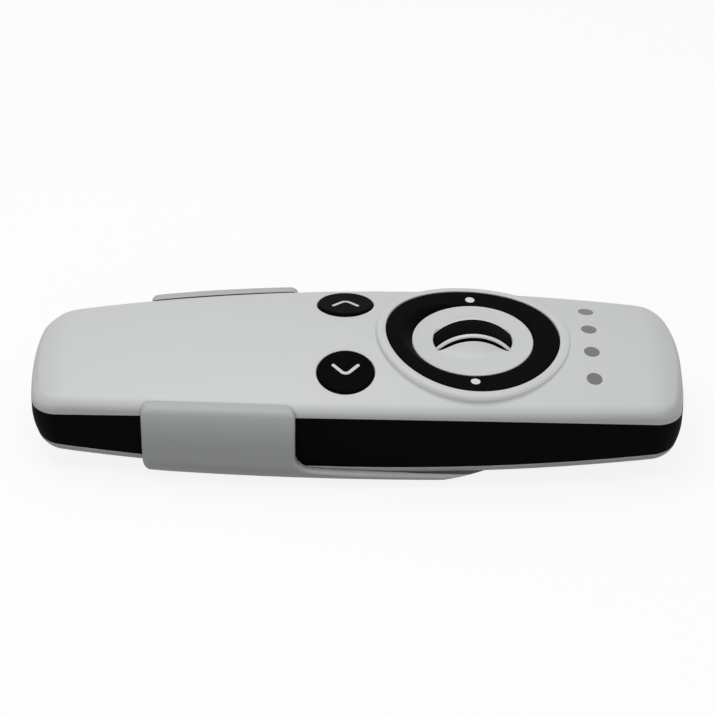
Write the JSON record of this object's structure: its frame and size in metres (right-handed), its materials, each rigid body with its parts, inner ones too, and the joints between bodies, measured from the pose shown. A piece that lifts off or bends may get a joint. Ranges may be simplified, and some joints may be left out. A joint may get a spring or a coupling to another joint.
{
  "type": "wireless remote control",
  "caption": "Slim hand-held remote control in a wall holder, with arrow keys, a rocking ring round a cowled thumb wheel, a sliding battery door and indicator windows.",
  "frame": {"origin": "on the flat back of the holder, under the middle of the handset's length and width", "axes": "+X along the handset to the end with the indicator windows, +Z out of the controls"},
  "size_m": [0.1547, 0.0536, 0.0292],
  "materials": {
    "white_abs": "moulded ABS, fine satin",
    "black_abs": "moulded ABS, deep matt",
    "grey_abs": "moulded ABS, fine satin",
    "wheel_white": "moulded ABS",
    "tyre_rubber": "soft rubber",
    "steel": "plated steel",
    "inner_plastic": "moulded plastic",
    "window_grey": "smoked light pipe",
    "dot_white": "moulded ABS",
    "lamp": "lamp resin",
    "board_green": "solder mask",
    "chip_black": "moulded resin",
    "radio_can": "tinned can",
    "cell_wrap": "printed film, left plain"
  },
  "bodies": {
    "holder": {"wall_holder": "grey_abs"},
    "handset": {"top_shell": "white_abs", "mid_band": "black_abs", "rear_shell": "grey_abs", "dial_centre": "white_abs", "wheel_cradle": "inner_plastic", "wheel_encoder": "inner_plastic", "circuit_board": "board_green", "radio_module": "radio_can", "controller_chip": "chip_black", "contact_tail": "steel", "ring_switch_1": "chip_black", "button_switch_1": "chip_black", "battery_1": "cell_wrap", "battery_spring_1": "steel", "contact_head_1": "steel", "ring_switch_2": "chip_black", "button_switch_2": "chip_black", "battery_2": "cell_wrap", "battery_spring_2": "steel", "contact_head_2": "steel", "indicator_window_1": "window_grey", "indicator_led_1": "lamp", "case_screw_1": "steel", "indicator_window_2": "window_grey", "indicator_led_2": "lamp", "case_screw_2": "steel", "indicator_window_3": "window_grey", "indicator_led_3": "lamp", "case_screw_3": "steel", "indicator_window_4": "window_grey", "indicator_led_4": "lamp", "case_screw_4": "steel"},
    "previous_key": {"previous_button": "black_abs", "previous_mark": "dot_white"},
    "next_key": {"next_button": "black_abs", "next_mark": "dot_white"},
    "ring": {"dial_ring": "black_abs", "ring_dot_1": "dot_white", "ring_dot_2": "dot_white"},
    "wheel": {"wheel_hub": "wheel_white", "wheel_tyre": "tyre_rubber", "wheel_axle": "steel"},
    "door": {"battery_door": "grey_abs"}
  },
  "joints": [
    {"name": "handset_slide", "type": "slide", "parent": "holder", "child": "handset", "axis": [1, 0, 0], "range_m": [0, 0.11]},
    {"name": "previous_press", "type": "slide", "parent": "handset", "child": "previous_key", "axis": [0, 0.1987, -0.9801], "range_m": [0, 0.0008], "stiffness_N_per_m": 1500},
    {"name": "next_press", "type": "slide", "parent": "handset", "child": "next_key", "axis": [0, -0.1987, -0.9801], "range_m": [0, 0.0008], "stiffness_N_per_m": 1500},
    {"name": "ring_rock", "type": "hinge", "parent": "handset", "child": "ring", "pos_m": [0.027, 0, 0.0236], "axis": [1, 0, 0], "range_deg": [-1.5, 1.5], "stiffness_Nm_per_rad": 1},
    {"name": "wheel_spin", "type": "hinge", "parent": "handset", "child": "wheel", "pos_m": [0.027, 0, 0.0175], "axis": [0, 1, 0], "continuous": true},
    {"name": "battery_door_slide", "type": "slide", "parent": "handset", "child": "door", "axis": [-1, 0, 0], "range_m": [0, 0.066]}
  ]
}
